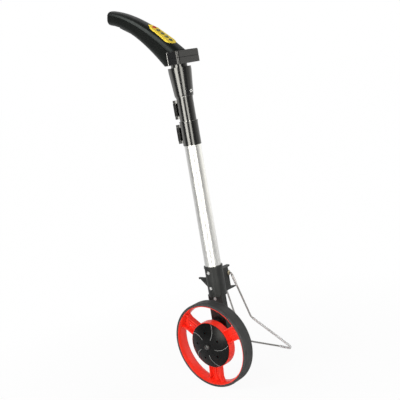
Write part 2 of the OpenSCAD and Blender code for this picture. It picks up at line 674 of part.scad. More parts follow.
module battery_door() color(black) on_door() difference() {
  linear_extrude(door_th) slab(door_l - 0.6, door_w - 0.6, 2);
  for (k = [0 : 3]) translate([-door_l / 2 + 5 + 2 * k, -5, -1]) cube([1, 10, 1.5]);
}
cell_d = 10.4;
cell_l = 43.5;
cell_z = half_t(door_t);
cell_y = cell_d / 2 + 0.2;
tray_z = 7.9;
tray_t = 3.4;
tray_w = 2 * cell_y + cell_d - 4.2;
tray_h = cell_d - 1.4;
contact_t = 0.5;
module on_cells() for (y = [-1, 1]) translate([0, y * cell_y, cell_z]) rotate([0, 90, 0]) children();
module battery_cells() color([0.75, 0.6, 0.25]) on_door() on_cells() {
  translate([0, 0, -cell_l / 2]) cylinder(d = cell_d, h = cell_l - 1);
  translate([0, 0, cell_l / 2 - 1 - eps]) cylinder(d = 3.6, h = 1 + eps);
}
module battery_contacts() color(steel) on_door() on_cells() for (s = [-1, 1])
  translate([0, 0, s * (cell_l + contact_t) / 2]) cylinder(d = 8, h = contact_t, center = true);
module battery_tray() color(black) difference() {
  on_door() difference() {
    union() {
      translate([0, 0, tray_z]) linear_extrude(tray_t) slab(cell_l + 2 * contact_t + 2.4, tray_w, 2);
      for (x = [-1, 1] * cell_l / 4) translate([x, 0, tray_z + tray_t / 2])
        cube([4, 2 * (half_w(door_t) - shell) + 0.6, tray_t], center = true);
      for (s = [-1, 1]) translate([s * (cell_l / 2 + contact_t + 0.6), 0, tray_z + tray_h / 2])
        cube([1.2, tray_w, tray_h], center = true);
    }
    on_cells() cylinder(d = cell_d + 0.1, h = cell_l + 2 * contact_t, center = true);
  }
  grip_lower();
}

// Keys

key_x = [for (i = [0 : 4]) panel_l / 2 + key_shift + key_pitch * (i - 2)];
flange_t = 0.9;
flange_lip = 0.9;
mat_t = 1.2;
key_deep = key_gap + flange_t + key_travel + 0.6 + mat_t;
post_at = key_l / 2 + flange_lip + post_r;
post_x = [key_x[0] - post_at - 1.4, key_x[4] + post_at + 1];
module key_shape(i, grow) {
  slab(key_l + 2 * grow, key_w + 2 * grow, key_l * 0.42 + grow);
}
module key_panel() color(yellow) on_panel() {
  difference() {
    for (k = [0 : 2]) translate([0, 0, -panel_t]) linear_extrude(panel_t - 0.8 * k)
      panel_outline(0.9 * k - 1.8);
    for (i = [0 : 4]) translate([key_x[i], 0, -panel_t - 1]) linear_extrude(panel_t + 2)
      key_shape(i, key_gap);
  }
  for (x = post_x) translate([x, 0, -panel_t - key_deep]) cylinder(r = post_r, h = key_deep + eps);
}
module key(i) on_panel() translate([key_x[i], 0, 0]) {
  translate([0, 0, -panel_t - key_gap - flange_t])
    linear_extrude(panel_t + key_gap + flange_t + key_h - 0.5) key_shape(i, 0);
  translate([0, 0, key_h - 0.5]) linear_extrude(0.5) key_shape(i, -0.5);
  translate([0, 0, -panel_t - key_gap - flange_t]) linear_extrude(flange_t) key_shape(i, flange_lip);
}
module key_mat() color(grey) on_panel() translate([panel_l / 2, 0, -panel_t - key_deep]) difference() {
  linear_extrude(mat_t) slab(panel_l - 5, key_w + 2, 2);
  for (x = post_x) translate([x - panel_l / 2, 0, -1]) cylinder(r = post_r, h = 4);
}
module key_board() color(green) on_panel() translate([panel_l / 2, 0, -panel_t - key_deep - 1.6])
  linear_extrude(1.6) slab(panel_l - 4, key_w + 3, 2);
module key_power() color(red) key(0);
module key_two() color(grey) key(1);
module key_three() color(grey) key(2);
module key_four() color(grey) key(3);
module key_five() color(grey) key(4);

tyre();
wheel();
hub_cap();
hub_bearings();
magnet_ring();
axle();
axle_nut();
fork();
socket_screws();
outer_tube();
sensor_pod();
stand_eyelets();
stand_wire();
leg_sleeve();
toe_sleeve();
clamp_lower();
lever_lower();
pin_lower();
middle_tube();
middle_foot();
clamp_upper();
lever_upper();
pin_upper();
inner_tube();
inner_foot();
handle_sleeve();
sleeve_screw();
display_base();
display_top();
display_window();
display_glass();
main_board();
grip_lower();
grip_upper();
battery_door();
battery_cells();
battery_contacts();
battery_tray();
key_panel();
key_mat();
key_board();
key_power();
key_two();
key_three();
key_four();
key_five();
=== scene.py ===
import json
import math
import bpy
from mathutils import Matrix, Vector


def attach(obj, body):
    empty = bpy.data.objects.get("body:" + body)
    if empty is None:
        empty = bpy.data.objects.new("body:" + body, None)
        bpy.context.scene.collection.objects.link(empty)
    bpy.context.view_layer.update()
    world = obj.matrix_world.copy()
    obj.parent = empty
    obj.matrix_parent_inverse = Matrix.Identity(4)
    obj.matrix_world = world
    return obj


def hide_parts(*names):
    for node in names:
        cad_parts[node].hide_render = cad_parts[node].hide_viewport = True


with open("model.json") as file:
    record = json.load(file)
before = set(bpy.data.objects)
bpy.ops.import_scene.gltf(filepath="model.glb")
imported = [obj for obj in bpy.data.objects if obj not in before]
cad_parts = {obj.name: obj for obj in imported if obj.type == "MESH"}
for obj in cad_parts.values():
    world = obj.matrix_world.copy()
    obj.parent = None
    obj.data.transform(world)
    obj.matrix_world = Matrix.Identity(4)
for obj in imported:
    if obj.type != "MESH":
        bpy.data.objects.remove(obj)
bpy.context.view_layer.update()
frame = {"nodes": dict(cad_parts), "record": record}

nodes = frame["nodes"]
scene = bpy.context.scene
print("frame loaded,", len(nodes), "nodes")


def newFinish(name, look):
    finish = bpy.data.materials.new(name)
    finish.use_nodes = True
    tree = finish.node_tree
    shader = tree.nodes["Principled BSDF"]
    shader.inputs["Metallic"].default_value = look.get("metal", 0.0)
    shader.inputs["Specular IOR Level"].default_value = look.get("gloss", 0.5)
    shader.inputs["Specular Tint"].default_value = (*look.get("tint", (1, 1, 1)), 1)
    if look.get("coat"):
        shader.inputs["Coat Weight"].default_value = look["coat"]
        shader.inputs["Coat Roughness"].default_value = look.get("coatRough", 0.2)
    place = tree.nodes.new("ShaderNodeTexCoord")
    return finish, tree, shader, place


def speckle(tree, place, scale, detail=3.0, stretch=(1, 1, 1), turn=(0, 0, 0), rough=0.55):
    spread = tree.nodes.new("ShaderNodeMapping")
    spread.inputs["Scale"].default_value = stretch
    spread.inputs["Rotation"].default_value = turn
    tree.links.new(place.outputs["Object"], spread.inputs["Vector"])
    noise = tree.nodes.new("ShaderNodeTexNoise")
    noise.inputs["Scale"].default_value = scale
    noise.inputs["Detail"].default_value = detail
    noise.inputs["Roughness"].default_value = rough
    tree.links.new(spread.outputs["Vector"], noise.inputs["Vector"])
    return noise.outputs["Fac"]


def spanOf(tree, value, low, high, fromLow=0.3, fromHigh=0.7):
    span = tree.nodes.new("ShaderNodeMapRange")
    span.inputs["From Min"].default_value = fromLow
    span.inputs["From Max"].default_value = fromHigh
    span.inputs["To Min"].default_value = low
    span.inputs["To Max"].default_value = high
    tree.links.new(value, span.inputs["Value"])
    return span.outputs["Result"]


# one maths node; each input is a socket or a plain number
def mathOf(tree, operation, first, second):
    node = tree.nodes.new("ShaderNodeMath")
    node.operation = operation
    for socket, value in zip(node.inputs, (first, second)):
        if isinstance(value, float):
            socket.default_value = value
        else:
            tree.links.new(value, socket)
    return node.outputs[0]


def twoTone(tree, value, dark, light, fromLow=0.3, fromHigh=0.7):
    ramp = tree.nodes.new("ShaderNodeValToRGB")
    ramp.color_ramp.elements[0].position = fromLow
    ramp.color_ramp.elements[0].color = (*dark, 1)
    ramp.color_ramp.elements[1].position = fromHigh
    ramp.color_ramp.elements[1].color = (*light, 1)
    tree.links.new(value, ramp.inputs["Fac"])
    return ramp.outputs["Color"]


def relief(tree, shader, value, depth, strength=0.6, under=None):
    bump = tree.nodes.new("ShaderNodeBump")
    bump.inputs["Distance"].default_value = depth
    bump.inputs["Strength"].default_value = strength
    tree.links.new(value, bump.inputs["Height"])
    if under:
        tree.links.new(under, bump.inputs["Normal"])
    tree.links.new(bump.outputs["Normal"], shader.inputs["Normal"])
    return bump.outputs["Normal"]


# distance from a point, or from a line along the axis that is left out
def reachFrom(tree, place, centre, axes=(1, 1, 1)):
    kept = tree.nodes.new("ShaderNodeVectorMath")
    kept.operation = "MULTIPLY"
    kept.inputs[1].default_value = axes
    tree.links.new(place.outputs["Object"], kept.inputs[0])
    reach = tree.nodes.new("ShaderNodeVectorMath")
    reach.operation = "DISTANCE"
    reach.inputs[1].default_value = [at * axis for at, axis in zip(centre, axes)]
    tree.links.new(kept.outputs["Vector"], reach.inputs[0])
    return reach.outputs["Value"]


# painted shade: the socket in the middle of a screw's head is darkened in its colour
def socketed(tree, place, colour, look):
    fromAxis = reachFrom(tree, place, look["socketAt"], (0, 1, 1))
    radius = look["socketRadius"]
    shade = tree.nodes.new("ShaderNodeVectorMath")
    shade.operation = "SCALE"
    tree.links.new(colour, shade.inputs[0])
    share = spanOf(tree, fromAxis, look["socketShade"], 1.0, radius, radius + look["socketFade"])
    tree.links.new(share, shade.inputs["Scale"])
    return shade.outputs["Vector"]


# the hinge ears stand out from the collar and keep the mould's duller skin
def dulled(tree, place, rough, look):
    fromPole = reachFrom(tree, place, look["pole"], (1, 1, 0))
    radius = look["dullBeyond"]
    extra = spanOf(tree, fromPole, 0.0, look["dullBy"], radius, radius + look["dullFade"])
    return mathOf(tree, "ADD", rough, extra)


# moulded or brushed surface: slow colour drift, patchy gloss, fine grain and a few rubs
def surface(name, look):
    finish, tree, shader, place = newFinish(name, look)
    stretch = look.get("stretch", (1, 1, 1))
    drift = speckle(tree, place, look["drift"], 2.0, stretch)
    colour = twoTone(tree, drift, look["dark"], look["light"])
    if look.get("socketRadius"):
        colour = socketed(tree, place, colour, look)
    tree.links.new(colour, shader.inputs["Base Color"])
    patch = speckle(tree, place, look.get("patch", 90), 4.0, stretch)
    rough = spanOf(tree, patch, *look["rough"])
    if look.get("dullBeyond"):
        rough = dulled(tree, place, rough, look)
    tree.links.new(rough, shader.inputs["Roughness"])
    grain = speckle(tree, place, look["grain"], 2.0, look.get("grainStretch", (1, 1, 1)))
    under = relief(tree, shader, grain, look.get("depth", 0.00004), look.get("strength", 0.2))
    if look.get("rubs"):
        rubs = speckle(tree, place, look["rubs"], 5.0, look.get("rubStretch", (1, 1, 6)),
                       turn=(0.3, 0.5, 0.2), rough=0.7)
        relief(tree, shader, rubs, look.get("rubDepth", 0.00004), strength=0.2, under=under)
    return finish


# hub cap: black dome with a painted highlight, a light colour laid on its raised ribs and rim
def ribbedCap(name, look):
    finish, tree, shader, place = newFinish(name, look)
    fromDome = reachFrom(tree, place, look["domeCentre"])
    dome = look["domeRadius"]
    crest = spanOf(tree, fromDome, 0.0, 1.0, dome + look["crestFoot"], dome + look["crestTop"])
    fromAxle = reachFrom(tree, place, look["domeCentre"], (1, 0, 1))
    boss, button = look["bossRadius"], look["buttonRadius"]
    offBoss = spanOf(tree, fromAxle, look["bossRibGlint"], 1.0, boss, boss + look["bossFade"])
    polish = spanOf(tree, fromAxle, look["buttonGloss"], look["gloss"], button, button + look["buttonFade"])
    tree.links.new(polish, shader.inputs["Specular IOR Level"])
    ribGlintBreakup = spanOf(tree, speckle(tree, place, look["ribGlintBreakup"], 3.0), look["leastRibGlint"], 1.0)
    # painted highlight: the rib crests and rim take the light colour, broken up by noise and kept off the
    # boss
    paintedRibGlint = mathOf(tree, "MULTIPLY", mathOf(tree, "MULTIPLY", crest, offBoss), ribGlintBreakup)
    tree.links.new(twoTone(tree, paintedRibGlint, look["dark"], look["light"], 0.0, 1.0), shader.inputs["Base Color"])
    patch = speckle(tree, place, look["patch"], 4.0)
    tree.links.new(spanOf(tree, patch, *look["rough"]), shader.inputs["Roughness"])
    grain = speckle(tree, place, look["grain"], 2.0)
    relief(tree, shader, grain, look["depth"], look["strength"])
    return finish


# the cap's light colour is the painted highlight on the ribs and rim, not a worn surface
capLook = dict(dark=(0.0050, 0.0050, 0.0048), light=(0.27, 0.27, 0.26), rough=(0.22, 0.30), gloss=0.17,
               patch=90, grain=900, depth=0.000003, strength=0.06, ribGlintBreakup=60, leastRibGlint=0.75,
               domeCentre=(0, 0.08297, 0.0796), domeRadius=0.1016, crestFoot=0.00025, crestTop=0.0005,
               bossRadius=0.010, bossFade=0.003, bossRibGlint=0.08, buttonRadius=0.0058, buttonFade=0.0006,
               buttonGloss=1.0)
# looks that several finishes share
blackLook = dict(dark=(0.0030, 0.0032, 0.0030), light=(0.0050, 0.0053, 0.0049), gloss=0.55, drift=40,
                 grain=900, depth=0.000002, strength=0.05, rubs=90, rubDepth=0.000003)
satinLook = dict(drift=40, grain=900, depth=0.000003, strength=0.06, rubs=90, rubDepth=0.000004)
whiteLook = dict(dark=(0.66, 0.66, 0.63), light=(0.78, 0.78, 0.75), rough=(0.4, 0.55), drift=120, grain=1500)
looks = {
    "tyreRubber": dict(dark=(0.030, 0.030, 0.030), light=(0.050, 0.049, 0.048), rough=(0.50, 0.64),
                       gloss=0.36, drift=60, grain=1400, depth=0.0001, rubs=220, rubStretch=(1, 5, 1)),
    "redPlastic": dict(dark=(0.87, 0.030, 0.014), light=(0.94, 0.042, 0.020), rough=(0.26, 0.36), gloss=0.35,
                       drift=26, grain=900, depth=0.00001, strength=0.1),
    "blackPlastic": dict(blackLook, rough=(0.14, 0.20)),
    "collarPlastic": dict(blackLook, rough=(0.15, 0.21), pole=(0, 0.0353, 0), dullBeyond=0.0171,
                          dullFade=0.0006, dullBy=0.5),
    "boxPlastic": dict(blackLook, dark=(0.0030, 0.0032, 0.0033), light=(0.0050, 0.0053, 0.0055),
                       rough=(0.24, 0.28), gloss=0.75),
    "satinPlastic": dict(satinLook, dark=(0.0040, 0.0043, 0.0040), light=(0.0055, 0.0062, 0.0055),
                         rough=(0.33, 0.41), gloss=0.26, tint=(0.90, 1.0, 0.94)),
    "leverPlastic": dict(satinLook, dark=(0.0028, 0.0030, 0.0028), light=(0.0045, 0.0048, 0.0045),
                         rough=(0.24, 0.32), gloss=0.16),
    "greyBlackPlastic": dict(dark=(0.010, 0.011, 0.010), light=(0.017, 0.018, 0.017), rough=(0.36, 0.48),
                             gloss=0.4, drift=40, grain=900, depth=0.00001, strength=0.12, rubs=120,
                             rubDepth=0.00001),
    "steel": dict(dark=(0.70, 0.70, 0.70), light=(0.82, 0.82, 0.81), rough=(0.24, 0.42), metal=1.0, drift=120,
                  grain=900, depth=0.00003),
    "magnet": dict(dark=(0.06, 0.06, 0.065), light=(0.10, 0.10, 0.105), rough=(0.5, 0.7), drift=200,
                   grain=1200),
    "aluminium": dict(dark=(0.76, 0.76, 0.74), light=(0.84, 0.84, 0.82), rough=(0.28, 0.36), metal=1.0,
                      drift=60, stretch=(9, 9, 0.25), patch=110, grain=420, grainStretch=(14, 14, 0.12),
                      depth=0.000002, strength=0.06, rubs=70, rubStretch=(6, 6, 0.4), rubDepth=0.000002),
    "board": dict(dark=(0.010, 0.095, 0.035), light=(0.018, 0.15, 0.055), rough=(0.3, 0.45), drift=300,
                  grain=1800),
    "brass": dict(dark=(0.70, 0.60, 0.42), light=(0.82, 0.74, 0.56), rough=(0.22, 0.38), metal=1.0, drift=150,
                  grain=900, depth=0.00003),
    "wireChrome": dict(dark=(0.44, 0.43, 0.41), light=(0.56, 0.55, 0.53), rough=(0.18, 0.28), metal=1.0,
                       drift=90, grain=700, depth=0.000003, rubs=120, rubDepth=0.000004),
    "whitePlastic": whiteLook,
    # the screw's white plastic, with painted shade darkening the socket in its head
    "screwPlastic": dict(whiteLook, socketAt=(0, 0.0353, 0.5364), socketRadius=0.0012, socketFade=0.0003,
                         socketShade=0.02),
    "greyRubber": dict(dark=(0.62, 0.62, 0.61), light=(0.72, 0.72, 0.71), rough=(0.45, 0.6), drift=180,
                       grain=900, depth=0.00002, strength=0.2),
    "windowGlass": dict(dark=(0.020, 0.022, 0.024), light=(0.026, 0.029, 0.031), rough=(0.06, 0.12),
                        gloss=0.5, drift=80, grain=400, depth=0.00001, strength=0.1, coat=0.6,
                        coatRough=0.05),
    "displayFace": dict(dark=(0.20, 0.23, 0.18), light=(0.26, 0.29, 0.23), rough=(0.25, 0.35), drift=60,
                        grain=1500),
    "cellCan": dict(dark=(0.55, 0.40, 0.12), light=(0.66, 0.50, 0.18), rough=(0.28, 0.4), metal=0.6, drift=90,
                    grain=900),
    "yellowPlastic": dict(dark=(0.84, 0.60, 0.036), light=(0.92, 0.69, 0.050), rough=(0.34, 0.48), gloss=0.3,
                          drift=70, grain=900, depth=0.00001, strength=0.1),
    "redKey": dict(dark=(0.46, 0.040, 0.022), light=(0.58, 0.060, 0.030), rough=(0.5, 0.66), drift=150,
                   grain=2400, depth=0.00005),
    "darkKey": dict(dark=(0.070, 0.085, 0.045), light=(0.10, 0.12, 0.065), rough=(0.5, 0.66), drift=150,
                    grain=2400, depth=0.00005),
}
finishes = {name: surface(name, look) for name, look in looks.items()}
finishes["capPlastic"] = ribbedCap("capPlastic", capLook)
print("finishes made,", len(finishes))

keyNames = ["key_power", "key_two", "key_three", "key_four", "key_five"]
wearsOf = {
    "tyreRubber": ["tyre"],
    "redPlastic": ["wheel"],
    "blackPlastic": ["handle_sleeve"],
    "collarPlastic": ["clamp_lower", "clamp_upper"],
    "boxPlastic": ["display_base", "display_top"],
    "leverPlastic": ["lever_lower", "lever_upper"],
    "satinPlastic": ["grip_lower", "grip_upper", "battery_door", "battery_tray"],
    "capPlastic": ["hub_cap"],
    "greyBlackPlastic": ["fork", "sensor_pod", "middle_foot", "inner_foot"],
    "steel": ["hub_bearings", "axle", "axle_nut", "socket_screws", "pin_lower", "pin_upper",
              "battery_contacts"],
    "magnet": ["magnet_ring"],
    "aluminium": ["outer_tube", "middle_tube", "inner_tube"],
    "board": ["main_board", "key_board"],
    "brass": ["stand_eyelets"],
    "wireChrome": ["stand_wire"],
    "whitePlastic": ["leg_sleeve"],
    "screwPlastic": ["sleeve_screw"],
    "greyRubber": ["toe_sleeve", "key_mat"],
    "windowGlass": ["display_window"],
    "displayFace": ["display_glass"],
    "cellCan": ["battery_cells"],
    "yellowPlastic": ["key_panel"],
    "redKey": keyNames[:1],
    "darkKey": keyNames[1:],
}
finishOf = {nodeName: finishName for finishName, wearers in wearsOf.items() for nodeName in wearers}
for nodeName, finishName in finishOf.items():
    nodes[nodeName].data.materials.clear()
    nodes[nodeName].data.materials.append(finishes[finishName])

record = frame["record"]
bodyOf = {nodeName: body for body, members in record["behaviour"]["bodies"].items() for nodeName in members}


def clearPick():
    bpy.ops.object.select_all(action="DESELECT")


def pick(piece):
    clearPick()
    piece.select_set(True)
    bpy.context.view_layer.objects.active = piece


def editAll(piece):
    pick(piece)
    bpy.ops.object.mode_set(mode="EDIT")
    bpy.ops.mesh.select_all(action="SELECT")


def editDone():
    bpy.ops.object.mode_set(mode="OBJECT")


def applyAll(piece):
    pick(piece)
    for modifier in list(piece.modifiers):
        bpy.ops.object.modifier_apply(modifier=modifier.name)


def smoothBy(piece, degrees):
    pick(piece)
    bpy.ops.object.shade_smooth_by_angle(angle=math.radians(degrees))


# the piece stands for a node: same body, same finish, and the node is hidden
def standFor(piece, nodeName, *others):
    piece.data.materials.clear()
    piece.data.materials.append(finishes[finishOf[nodeName]])
    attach(piece, bodyOf[nodeName])
    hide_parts(nodeName, *others)


def breakEdges(piece, width, segments, crease):
    bevel = piece.modifiers.new("ease", "BEVEL")
    bevel.width = width
    bevel.segments = segments
    bevel.limit_method = "ANGLE"
    bevel.angle_limit = math.radians(crease)
    bevel.harden_normals = False
    applyAll(piece)


# hub cap's middle: the flat top sinks and rises again as a dome
buttonLook = dict(top=-0.0226, slack=0.0001, radius=0.0056, rise=0.0034, steps=6, lastAngle=82)
weldGap = 0.000004


def domedButton(piece, look):
    editAll(piece)
    bpy.ops.mesh.select_all(action="DESELECT")
    bpy.ops.mesh.select_mode(type="FACE")
    editDone()
    for face in piece.data.polygons:
        face.select = face.center.y < look["top"] + look["slack"]
    bpy.ops.object.mode_set(mode="EDIT")
    bpy.ops.transform.translate(value=(0, look["rise"], 0))
    for step in range(look["steps"]):
        low, high = (math.radians(look["lastAngle"]) * k / look["steps"] for k in (step, step + 1))
        bpy.ops.mesh.inset(thickness=look["radius"] * (math.cos(low) - math.cos(high)), depth=0)
        bpy.ops.transform.translate(value=(0, look["rise"] * (math.sin(low) - math.sin(high)), 0))
    bpy.ops.mesh.select_mode(type="VERT")
    editDone()


# a merged copy of a node with its edges broken, for the moulded and turned parts
def easedCopy(nodeName, width, segments=2, crease=32):
    piece = bpy.data.objects.new("eased_" + nodeName, nodes[nodeName].data.copy())
    scene.collection.objects.link(piece)
    pick(piece)
    bpy.ops.mesh.customdata_custom_splitnormals_clear()  # the loose triangles' own normals
    editAll(piece)
    bpy.ops.mesh.mark_sharp(clear=True)
    bpy.ops.mesh.remove_doubles(threshold=weldGap)
    bpy.ops.mesh.dissolve_limited(angle_limit=math.radians(0.4))
    editDone()
    if nodeName == "hub_cap":
        domedButton(piece, buttonLook)
    if width:
        breakEdges(piece, width, segments, crease)
    smoothBy(piece, crease)
    weighted = piece.modifiers.new("weighted", "WEIGHTED_NORMAL")  # broad faces keep their own shading
    weighted.keep_sharp = True
    applyAll(piece)
    standFor(piece, nodeName)
    return piece


# edge radius in metres and steps round it, node by node
easedLooks = {
    "wheel": (0.0004, 2), "hub_cap": (0.00025, 2), "axle": (0.0003, 2), "axle_nut": (0.0003, 2),
    "fork": (0.0006, 2), "socket_screws": (0.0002, 2), "outer_tube": (0.0002, 1), "sensor_pod": (0.0005, 2),
    "stand_eyelets": (0.0003, 2), "clamp_lower": (0.0004, 2), "lever_lower": (0.0005, 2),
    "pin_lower": (0.0003, 1), "middle_tube": (0.0002, 1), "clamp_upper": (0.0004, 2),
    "lever_upper": (0.0005, 2), "pin_upper": (0.0003, 1), "inner_tube": (0.0002, 1),
    "handle_sleeve": (0.0004, 2), "sleeve_screw": (0.0003, 2), "display_base": (0.0008, 3),
    "display_top": (0.0008, 3), "display_window": (0.0002, 1), "grip_lower": (0, 1), "grip_upper": (0, 1),
    "battery_door": (0.0003, 2),
}
easedLooks.update({keyName: (0.0005, 3) for keyName in keyNames})
for nodeName, (width, segments) in easedLooks.items():
    easedCopy(nodeName, width, segments)
print("eased copies made,", len(easedLooks))

# key panel: a teardrop plate with a crowned rim and five cut-outs, in its own tilted frame
panelLook = dict(start=(-0.0507, 0.0353, 0.6628), slope=39.6, length=0.064, tailHalf=0.003, hipAt=0.012,
                 hipHalf=0.0096, noseHalf=0.012, thick=0.0034, wall=0.0018, crown=0.0018, crownSteps=6,
                 arcSteps=24, keyGap=0.0003)


def panelOutline(look):
    arcAt = look["length"] - look["noseHalf"]
    half = [(0, look["tailHalf"]), (look["hipAt"], look["hipHalf"])]
    nose = [math.radians(90 - 180 * step / look["arcSteps"]) for step in range(look["arcSteps"] + 1)]
    arc = [(arcAt + look["noseHalf"] * math.cos(angle), look["noseHalf"] * math.sin(angle)) for angle in nose]
    return half + arc + [(along, -across) for along, across in reversed(half)]


def panelPlate(look):
    outline = panelOutline(look)
    clearPick()
    bpy.ops.mesh.primitive_circle_add(vertices=len(outline), radius=0.01, fill_type="NGON")
    piece = bpy.context.object
    piece.name = "panel_plate"
    for vertex, (along, across) in zip(piece.data.vertices, outline):
        vertex.co = (along, across, -look["thick"])
    editAll(piece)
    bpy.ops.mesh.normals_make_consistent(inside=False)
    bpy.ops.mesh.extrude_region_move(TRANSFORM_OT_translate={"value": (0, 0, look["wall"])})
    rise = look["thick"] - look["wall"]
    for step in range(look["crownSteps"]):
        low, high = (math.pi / 2 * k / look["crownSteps"] for k in (step, step + 1))
        bpy.ops.mesh.inset(thickness=look["crown"] * (math.cos(low) - math.cos(high)), depth=0)
        bpy.ops.transform.translate(value=(0, 0, rise * (math.sin(high) - math.sin(low))))
    bpy.ops.mesh.select_all(action="SELECT")
    bpy.ops.mesh.normals_make_consistent(inside=False)
    editDone()
    tilt = Matrix.Rotation(math.radians(look["slope"]), 4, "Y")
    piece.data.transform(Matrix.Translation(look["start"]) @ tilt)
    return piece


panel = panelPlate(panelLook)
for keyName in keyNames:
    cutter = bpy.data.objects.new("cut_" + keyName, nodes[keyName].data.copy())
    scene.collection.objects.link(cutter)
    editAll(cutter)
    bpy.ops.mesh.remove_doubles(threshold=weldGap)
    bpy.ops.transform.shrink_fatten(value=panelLook["keyGap"], use_even_offset=True)
    editDone()
    cut = panel.modifiers.new("cutOut", "BOOLEAN")
    cut.operation = "DIFFERENCE"
    cut.object = cutter
    applyAll(panel)
    bpy.data.objects.remove(cutter)
smoothBy(panel, 35)
standFor(panel, "key_panel")
print("key panel cut,", len(panel.data.polygons), "faces")

# tyre: half-round shoulders, a shallow groove each side of the tread and a mould line in the middle
tyreLook = dict(hub=(0, 0, 0.0796), outer=0.0796, seat=0.0751, half=0.0122, seatDraft=0.0002, shoulder=0.0022,
                shoulderSteps=6, groove=0.0003, grooveAt=0.0078, grooveHalf=0.0006, lineSunk=0.0001,
                lineFoot=0.0008, lineEdge=0.0003, lineHalf=0.00015, steps=180)


def tyreProfile(look):
    outer, half, bend = look["outer"], look["half"], look["shoulder"]
    points = [(look["seat"], half - look["seatDraft"]), (outer - bend, half)]
    for step in range(1, look["shoulderSteps"] + 1):
        angle = math.radians(90 * step / look["shoulderSteps"])
        points.append((outer - bend + bend * math.sin(angle), half - bend + bend * math.cos(angle)))
    at, wide, floorAt = look["grooveAt"], look["grooveHalf"], outer - look["groove"]
    points += [(outer, at + wide), (floorAt, at + wide / 2), (floorAt, at - wide / 2), (outer, at - wide)]
    sunk = outer - look["lineSunk"]
    points += [(sunk, look["lineFoot"]), (sunk, look["lineEdge"]), (outer, look["lineHalf"])]
    return points + [(radius, -across) for radius, across in reversed(points)]


def spunRing(name, points, hub, steps):
    clearPick()
    bpy.ops.mesh.primitive_circle_add(vertices=len(points), radius=0.01, fill_type="NOTHING")
    piece = bpy.context.object
    piece.name = name
    for vertex, (radius, across) in zip(piece.data.vertices, points):
        vertex.co = (hub[0] + radius, hub[1] + across, hub[2])
    editAll(piece)
    bpy.ops.mesh.spin(steps=steps, angle=2 * math.pi, center=hub, axis=(0, 1, 0))
    bpy.ops.mesh.select_all(action="SELECT")
    bpy.ops.mesh.remove_doubles(threshold=0.00001)
    bpy.ops.mesh.normals_make_consistent(inside=False)
    editDone()
    return piece


tyre = spunRing("tyre_ring", tyreProfile(tyreLook), Vector(tyreLook["hub"]), tyreLook["steps"])
smoothBy(tyre, 40)
standFor(tyre, "tyre")
print("tyre spun,", len(tyre.data.polygons), "faces")

# side stand: one bent wire, its corners and the radius of each bend in millimetres
standLook = dict(
    wire=0.00182, sides=4, bendSteps=9,
    corners=[(2.5, 66.4, 194.2), (13.5, 66.4, 194.2), (-10, 132.87, 83.51), (45, 182, 2.4), (9, 186.2, 3.4),
             (-60, 195.86, 1.86), (-128, 205.38, 1.86), (-49, 132.87, 83.51), (-11.5, 66.4, 194.2),
             (-0.5, 66.4, 194.2)],
    bends=[0, 3, 14, 9, 12, 60, 9, 14, 3, 0],
    grip=0.00232, gripRib=0.00008, gripPitch=0.0011, gripEnd=8, band=0.0025, bandShare=(0.02, 0.24),
    bandForm=[(0, 0.86), (0.03, 0.96), (0.06, 1), (0.5, 1), (0.94, 1), (0.97, 0.96), (1, 0.86)])


def roundedRoute(corners, bends, steps):
    corners = [Vector(corner) / 1000 for corner in corners]
    stretches = [[corners[0]]]
    for index in range(1, len(corners) - 1):
        before, corner, after = corners[index - 1:index + 2]
        inward, outward = (before - corner).normalized(), (after - corner).normalized()
        half = inward.angle(outward) / 2
        radius = bends[index] / 1000
        middle = corner + (inward + outward).normalized() * radius / math.sin(half)
        start, end = ((corner + arm * radius / math.tan(half) - middle).normalized()
                      for arm in (inward, outward))
        stretches.append([middle + radius * start.slerp(end, step / steps) for step in range(steps + 1)])
    return stretches + [[corners[-1]]]


def roundBar(name, points, radii, sides):
    curve = bpy.data.curves.new(name, "CURVE")
    curve.dimensions = "3D"
    curve.bevel_depth = 1.0
    curve.bevel_resolution = sides
    curve.use_fill_caps = True
    spline = curve.splines.new("POLY")
    spline.points.add(len(points) - 1)
    for knot, point, radius in zip(spline.points, points, radii):
        knot.co = (*point, 1)
        knot.radius = radius
    piece = bpy.data.objects.new(name, curve)
    scene.collection.objects.link(piece)
    pick(piece)
    bpy.ops.object.convert(target="MESH")
    piece = bpy.context.object
    editAll(piece)
    bpy.ops.mesh.remove_doubles(threshold=0.000002)
    bpy.ops.mesh.normals_make_consistent(inside=False)
    editDone()
    smoothBy(piece, 50)
    return piece


stretches = roundedRoute(standLook["corners"], standLook["bends"], standLook["bendSteps"])
wirePoints = [point for stretch in stretches for point in stretch]
wire = roundBar("stand_bar", wirePoints, [standLook["wire"]] * len(wirePoints), standLook["sides"])
standFor(wire, "stand_wire")


def evenPoints(points, pitch):
    evened, spare = [points[0]], 0.0
    for start, end in zip(points, points[1:]):
        length = (end - start).length
        along = pitch - spare
        while along <= length:
            evened.append(start.lerp(end, along / length))
            along += pitch
        spare = length - (along - pitch)
    return evened


kneeEnd, toeArc, heelward = stretches[2][-1], stretches[3], stretches[4][:standLook["gripEnd"]]
gripPoints = evenPoints([kneeEnd] + toeArc + heelward, standLook["gripPitch"] / 2)
gripRadii = [standLook["grip"] + (standLook["gripRib"] if index % 2 else -standLook["gripRib"])
             for index in range(len(gripPoints))]
toeGrip = roundBar("toe_grip", gripPoints, gripRadii, standLook["sides"])
standFor(toeGrip, "toe_sleeve")
legTop, legFoot = stretches[1][-1], stretches[2][0]
bandFrom, bandTo = (legTop.lerp(legFoot, share) for share in standLook["bandShare"])
bandPoints = [bandFrom.lerp(bandTo, share) for share, part in standLook["bandForm"]]
bandRadii = [standLook["band"] * part for share, part in standLook["bandForm"]]
legBand = roundBar("leg_band", bandPoints, bandRadii, standLook["sides"])
standFor(legBand, "leg_sleeve")
print("stand bent,", len(wire.data.polygons), "and", len(toeGrip.data.polygons), "faces")

